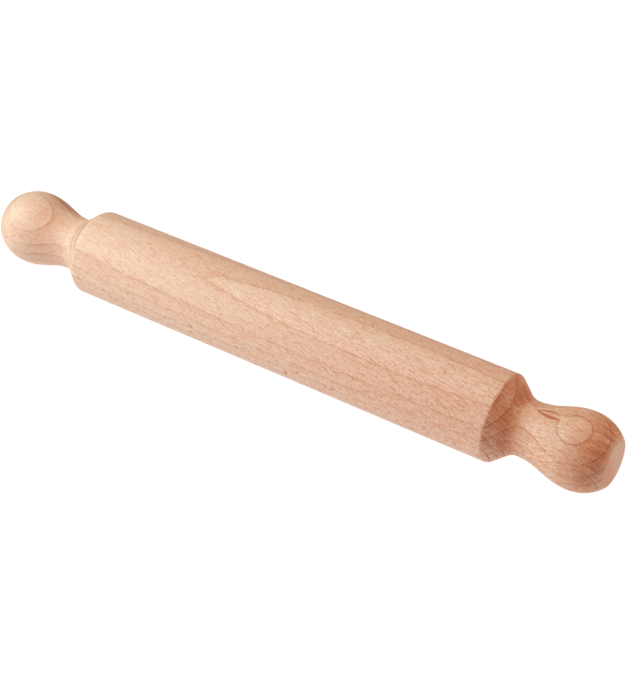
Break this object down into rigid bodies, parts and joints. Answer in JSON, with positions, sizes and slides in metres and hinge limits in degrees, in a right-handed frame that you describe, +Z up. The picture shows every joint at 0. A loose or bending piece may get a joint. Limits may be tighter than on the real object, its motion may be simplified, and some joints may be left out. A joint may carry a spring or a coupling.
{
  "type": "rolling pin",
  "caption": "Turned wooden rolling pin for dough: plain cylindrical barrel, sloping coved shoulders and fixed knob handles that are glued into the barrel's ends.",
  "frame": {"origin": "on the worktop under the middle of the barrel, with the pin lying on its barrel", "axes": "+X along the pin's axis towards the right handle, +Z up, -Y towards the user"},
  "size_m": [0.4, 0.05, 0.05],
  "materials": {
    "barrel": "sanded bare beech, satin",
    "left_handle": "sanded bare beech, satin",
    "right_handle": "sanded bare beech, satin"
  },
  "bodies": {
    "root": {"barrel": "barrel", "left_handle": "left_handle", "right_handle": "right_handle"}
  },
  "joints": []
}
